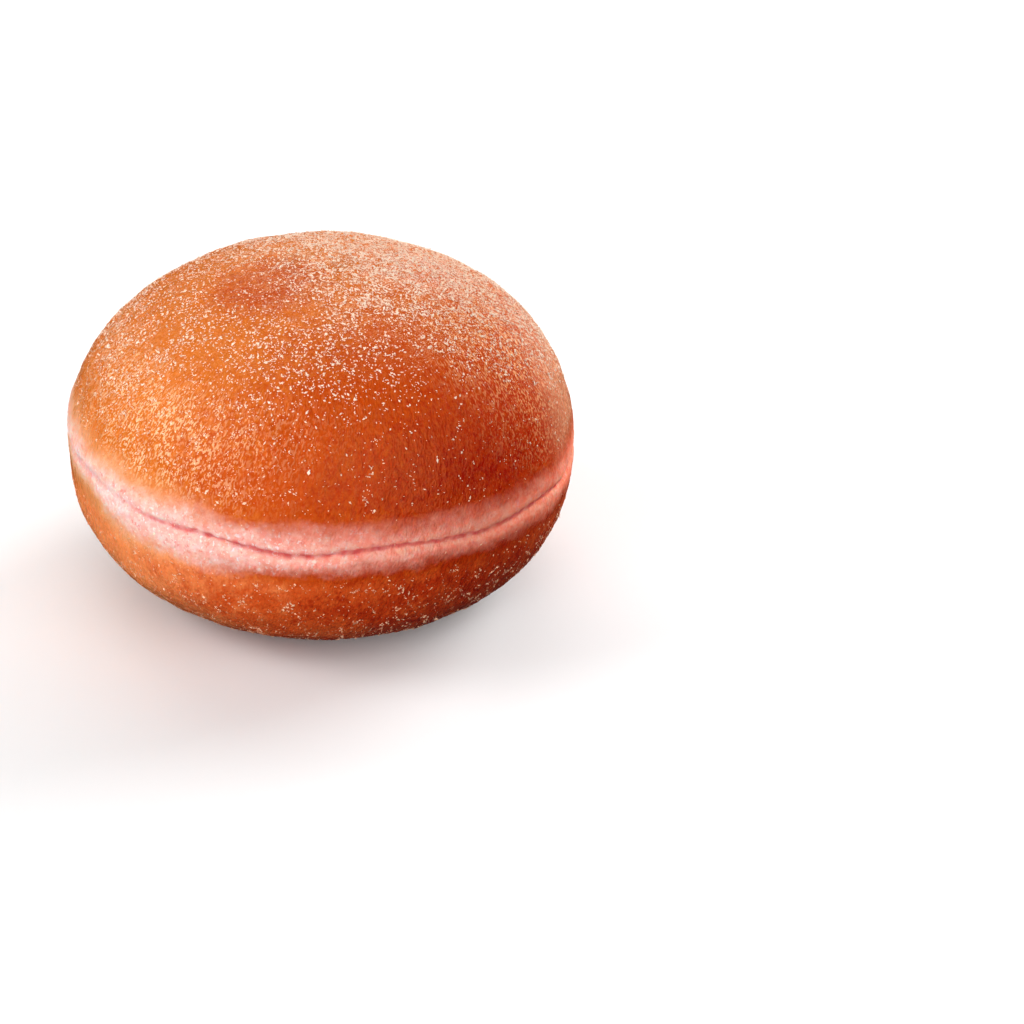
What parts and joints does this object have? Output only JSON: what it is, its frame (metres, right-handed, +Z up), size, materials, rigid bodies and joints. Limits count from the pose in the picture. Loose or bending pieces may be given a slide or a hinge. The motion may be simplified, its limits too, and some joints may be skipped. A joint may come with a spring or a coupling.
{
  "type": "mini beignet",
  "caption": "Small round beignet: a fried yeast-dough ball with browned crusts above and below a pale pink ring, a fine crease round its middle and a dusting of sugar.",
  "frame": {"origin": "on the surface it stands on, under the middle of the beignet", "axes": "+Z up through the crown, -Y towards the front, +X to the right"},
  "size_m": [0.0602, 0.0602, 0.04],
  "materials": {
    "dough": "satin",
    "sugar": "satin"
  },
  "bodies": {
    "root": {"dough": "dough"}
  },
  "joints": []
}
